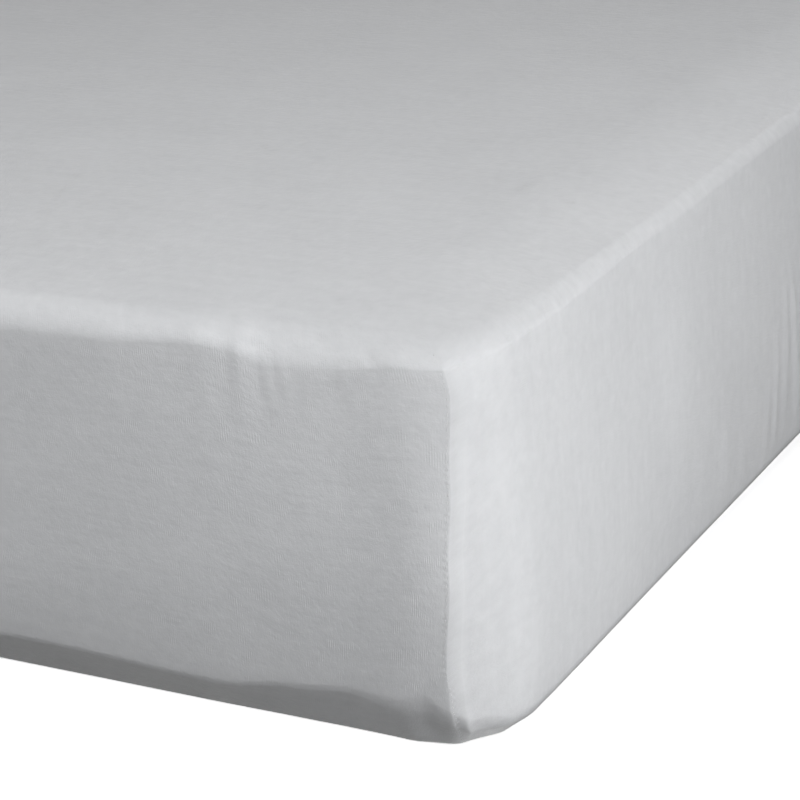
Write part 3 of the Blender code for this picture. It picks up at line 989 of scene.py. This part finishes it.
def make_mattress(cloth, material):
    """The plain foam mattress that fills the sheet: its surface lies just under the cloth all round."""
    points = (cloth.points - MATTRESS_BELOW * cloth.normals)[::MATTRESS_EVERY]
    points[:, :, 2] = np.maximum(points[:, :, 2], MATTRESS_FOOT)
    last = points.shape[1] - 1
    taken = sorted({0, cloth.edge_row, *range(0, last, MATTRESS_ROWS), cloth.foot_row, last})
    points = points[:, taken]
    count, rows = points.shape[:2]
    faces = []
    for left in range(count):
        right = (left + 1) % count
        for row in range(rows - 1):
            corners = ((left, row), (left, row + 1), (right, row + 1), (right, row))
            faces.append([station * rows + r for station, r in corners])
    vertices = [points.reshape(-1, 3)]
    made = count * rows
    top = (0, TOP_ROWS[0], TOP_ROUND, 1)
    underside = (rows - 1, HEM + HEM_WAVE, UNDERSIDE_ROUND, -1)
    for row, inset, round_by, turn in (top, underside):
        added, middle = flat_middle(points[:, row], inset, round_by, MATTRESS_GRID)
        height = points[:, row, 2].mean()
        vertices.append(np.concatenate([added, np.full((len(added), 1), height)], axis=1))
        for face in middle:
            corners = [corner * rows + row if corner < count else corner - count + made for corner in face]
            faces.append(corners[::turn])
        made += len(added)
    mesh = bpy.data.meshes.new("foam_mattress")
    mesh.from_pydata(np.concatenate(vertices).tolist(), [], faces)
    mesh.shade_smooth()
    return mesh_object("foam_mattress", mesh, material)


# ------------ stitches


def stitch_tree(material):
    """Nodes that lay one stitch at every pitch of a line, along the line, none quite like the next."""
    tree = bpy.data.node_groups.new("stitches along a line", "GeometryNodeTree")
    sockets = {}
    tree.interface.new_socket("Line", in_out="INPUT", socket_type="NodeSocketGeometry")
    for name in ("Pitch", "Length", "Thickness"):
        made = tree.interface.new_socket(name, in_out="INPUT", socket_type="NodeSocketFloat")
        sockets[name] = made.identifier
    tree.interface.new_socket("Stitches", in_out="OUTPUT", socket_type="NodeSocketGeometry")

    def node(kind, settings=None, inputs=None):
        made = tree.nodes.new(kind)
        for name, value in (settings or {}).items():
            setattr(made, name, value)
        for name, value in (inputs or {}).items():
            if isinstance(value, bpy.types.NodeSocket):
                tree.links.new(value, made.inputs[name])
            else:
                made.inputs[name].default_value = value
        return made

    def first(kind, settings=None, inputs=None):
        return node(kind, settings, inputs).outputs[0]

    given = node("NodeGroupInput").outputs
    line = first("GeometryNodeMeshToCurve", None, {"Mesh": given["Line"]})
    spaced = first("GeometryNodeResampleCurve", {"mode": "LENGTH"}, {"Curve": line, "Length": given["Pitch"]})
    points = node("GeometryNodeCurveToPoints", {"mode": "EVALUATED"}, {"Curve": spaced}).outputs
    thread = first("GeometryNodeMeshUVSphere", None, {"Segments": 6, "Rings": 4, "Radius": 0.5})
    smooth = first("GeometryNodeSetShadeSmooth", None, {"Geometry": thread})
    vector = {"data_type": "FLOAT_VECTOR"}
    most = Vector((STITCH_LEANS, STITCH_LEANS, 0.0))
    jitter = first("FunctionNodeRandomValue", vector, {0: -most, 1: most, "Seed": 4})
    sizes = {0: STITCH_LEAST, 1: STITCH_GREATEST, "Seed": 9}
    spread = first("FunctionNodeRandomValue", vector, sizes)
    thick, long = given["Thickness"], given["Length"]
    size = first("ShaderNodeCombineXYZ", None, {0: thick, 1: thick, 2: long})
    scale = first("ShaderNodeVectorMath", {"operation": "MULTIPLY"}, {0: size, 1: spread})
    lie = first("FunctionNodeAlignRotationToVector", {"axis": "Z"}, {"Vector": points["Tangent"]})
    lean = first("FunctionNodeRotateRotation", {"rotation_space": "LOCAL"}, {0: lie, 1: jitter})
    placed = {"Points": points["Points"], "Instance": smooth, "Rotation": lean, "Scale": scale}
    laid = first("GeometryNodeInstanceOnPoints", None, placed)
    real = first("GeometryNodeRealizeInstances", None, {"Geometry": laid})
    finished = first("GeometryNodeSetMaterial", None, {"Geometry": real, "Material": material})
    node("NodeGroupOutput", None, {"Stitches": finished})
    return tree, sockets


def sew(name, lines, stitch, tree_and_sockets, material):
    """One piece with the stitches of these lines, each line an array of points."""
    tree, sockets = tree_and_sockets
    points = np.concatenate(lines)
    edges, first = [], 0
    for line in lines:
        edges += [(first + i, first + i + 1) for i in range(len(line) - 1)]
        first += len(line)
    mesh = bpy.data.meshes.new(name + "_line")
    mesh.from_pydata(points.tolist(), edges, [])
    guide = bpy.data.objects.new(name + "_line", mesh)
    bpy.context.scene.collection.objects.link(guide)
    nodes = guide.modifiers.new("stitches", "NODES")
    nodes.node_group = tree
    for socket, value in zip(sockets.values(), stitch):
        nodes[socket] = value
    graph = bpy.context.evaluated_depsgraph_get()
    sewn = bpy.data.meshes.new_from_object(guide.evaluated_get(graph))
    guide.modifiers.remove(nodes)
    bpy.data.objects.remove(guide)
    bpy.data.meshes.remove(mesh)
    sewn.name = name
    return mesh_object(name, sewn, material)


def corner_lines(cloth):
    """The lines of the corner seams' stitches, just beside each seam on the short side's panel."""
    lines = []
    left_out, taken_in = CORNER_STITCH_ROWS
    rows = np.arange(cloth.edge_row + left_out, cloth.foot_row + taken_in)
    for station in np.flatnonzero(cloth.step == 1.0):
        before = cloth.step[station - 1]
        to_short = -1 if 0 <= before < 1 else 1
        (aside,) = between(STITCH_LINE, cloth.z[station, rows])
        where = [(station + steps * to_short) % len(cloth.step) for steps in BESIDE_SEAM]
        near = cloth.points[station, rows]
        away = np.array([np.linalg.norm(cloth.points[w, rows] - near, axis=1) for w in where])
        away[np.array(BESIDE_SEAM) < 0] *= -1
        line = []
        for index, row in enumerate(rows):
            places = cloth.points[where, row]
            line.append([np.interp(aside[index], away[:, index], places[:, axis]) for axis in range(3)])
        lines.append(np.array(line))
    return lines


def hem_lines(cloth):
    """Two lines of stitches round the hem, on the underside's cloth."""
    lines = []
    for row in HEM_STITCH_ROWS:
        line = cloth.points[:, row] + HEM_STITCH_LIFT * cloth.normals[:, row]
        lines.append(np.concatenate([line, line[:1]]))
    return lines


def main():
    make_camera()
    cloth = Cloth()
    mattress = make_mattress(cloth, ticking("off-white ticking"))
    lift = seam_lift(cloth) + fold_stand(cloth) + seam_puckers(cloth)
    height = cloth.stands * lift + swell_height(cloth) + crease_height(cloth) + near_edge_waves(cloth)
    cloth.raise_by(height + tuck_gathers(cloth))
    grey = brushed_jersey("brushed grey jersey", (0.50, 0.508, 0.522), (0.60, 0.607, 0.62))
    sheet = make_sheet(cloth, grey)
    thread = sewing_thread("grey sewing thread")
    tree = stitch_tree(thread)
    corner_seams = sew("corner_stitches", corner_lines(cloth), CORNER_STITCH, tree, thread)
    hem_seams = sew("hem_stitches", hem_lines(cloth), HEM_STITCH, tree, thread)
    for piece in (mattress, sheet, corner_seams, hem_seams):
        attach(piece, "root")
    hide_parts("fitted_sheet")
    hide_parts("mattress")


# ------------ floor and light

FLOOR_HALF = 30.0
FLOOR_Z = -0.0005


def make_floor():
    mesh = bpy.data.meshes.new("floor")
    corners = [(x * FLOOR_HALF, y * FLOOR_HALF, 0) for x, y in ((-1, -1), (1, -1), (1, 1), (-1, 1))]
    mesh.from_pydata(corners, [], [(0, 1, 2, 3)])
    floor = mesh_object("floor", mesh, pale_floor("pale floor"))
    floor.location.z = FLOOR_Z
    floor.visible_diffuse = False
    floor.visible_glossy = False


def area_light(name, from_corner, size, watts, aimed_at=(-0.1, 0.15, 0.12)):
    light = bpy.data.lights.new(name, "AREA")
    light.shape = "DISK"
    light.size = size
    light.energy = watts
    made = bpy.data.objects.new(name, light)
    bpy.context.scene.collection.objects.link(made)
    made.location = NEAR_CORNER + Vector(from_corner)
    aim = NEAR_CORNER + Vector(aimed_at) - made.location
    made.rotation_euler = aim.to_track_quat("-Z", "Y").to_euler()


def studio_sky(strength):
    """Even light from above the floor and none from below."""
    world = bpy.data.worlds.new("studio")
    bpy.context.scene.world = world
    world.use_nodes = True
    nodes, links = world.node_tree.nodes, world.node_tree.links
    place = nodes.new("ShaderNodeTexCoord")
    split = nodes.new("ShaderNodeSeparateXYZ")
    links.new(place.outputs["Generated"], split.inputs[0])
    ramp = nodes.new("ShaderNodeMapRange")
    ramp.interpolation_type = "SMOOTHSTEP"
    for index, value in {1: -0.1, 2: 0.2, 3: 0.0, 4: strength}.items():
        ramp.inputs[index].default_value = value
    links.new(split.outputs[2], ramp.inputs[0])
    background = nodes["Background"]
    background.inputs["Color"].default_value = (1.0, 1.0, 1.0, 1.0)
    links.new(ramp.outputs[0], background.inputs["Strength"])


def make_light():
    area_light("key", (0.95, -0.25, 0.14), 0.6, 13.3)
    area_light("left front high", (-1.8, -1.4, 1.7), 1.2, 34.2)
    area_light("front high", (-0.8, -1.8, 1.8), 1.2, 20.5)
    area_light("front near", (-0.25, -0.95, 0.35), 0.6, 0.5)
    area_light("overhead far", (0.0, 1.2, 2.2), 1.6, 10.9)
    area_light("back high", (-0.4, 2.4, 1.6), 1.4, 5.2)
    area_light("right far", (2.2, 0.6, 0.3), 1.0, 9.5)
    area_light("overhead near", (0.15, 0.0, 1.1), 0.8, 3.2)
    area_light("far end low", (-0.7, 4.6, 0.14), 0.3, 40.0, (-0.7, 2.0, 0.1))
    area_light("far side low", (-4.2, 0.9, 0.14), 0.3, 42.0, (-1.4, 0.9, 0.1))
    studio_sky(0.01)
    bpy.context.scene.view_settings.view_transform = "Standard"


main()
make_floor()
make_light()
